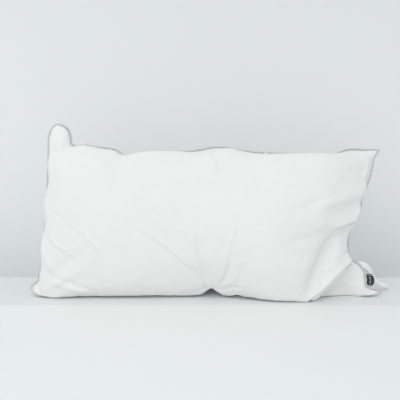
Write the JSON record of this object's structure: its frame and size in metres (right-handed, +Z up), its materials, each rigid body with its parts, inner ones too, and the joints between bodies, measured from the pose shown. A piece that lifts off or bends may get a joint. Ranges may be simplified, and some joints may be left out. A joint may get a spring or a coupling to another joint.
{
  "type": "bed pillow",
  "caption": "Rectangular bed pillow with corded piping all round, standing on its long edge and leaning slightly back.",
  "frame": {"origin": "on the resting surface, under the middle of the pillow's length and depth", "axes": "+X along the length, to the right seen from the front; +Y through the thickness, from the front to the back; +Z up, from the long edge it stands on to the other one"},
  "size_m": [0.8332, 0.183, 0.3894],
  "materials": {
    "panel_fabric": "matt down-proof cotton, plain weave",
    "fibre_filling": "lofted polyester fibre",
    "piping_fabric": "matt cotton bias tape",
    "cotton_cord": "twisted cotton cord",
    "sewing_thread": "spun polyester thread",
    "woven_label": "woven damask ribbon",
    "satin_label": "thin satin ribbon, slightly glossy"
  },
  "bodies": {
    "root": {"front_panel": "panel_fabric", "back_panel": "panel_fabric", "filling": "fibre_filling", "piping_tape": "piping_fabric", "piping_cord": "cotton_cord", "seam_thread": "sewing_thread", "closing_thread": "sewing_thread", "brand_label": "woven_label", "care_label_upper": "satin_label", "care_label_lower": "satin_label"}
  },
  "joints": []
}
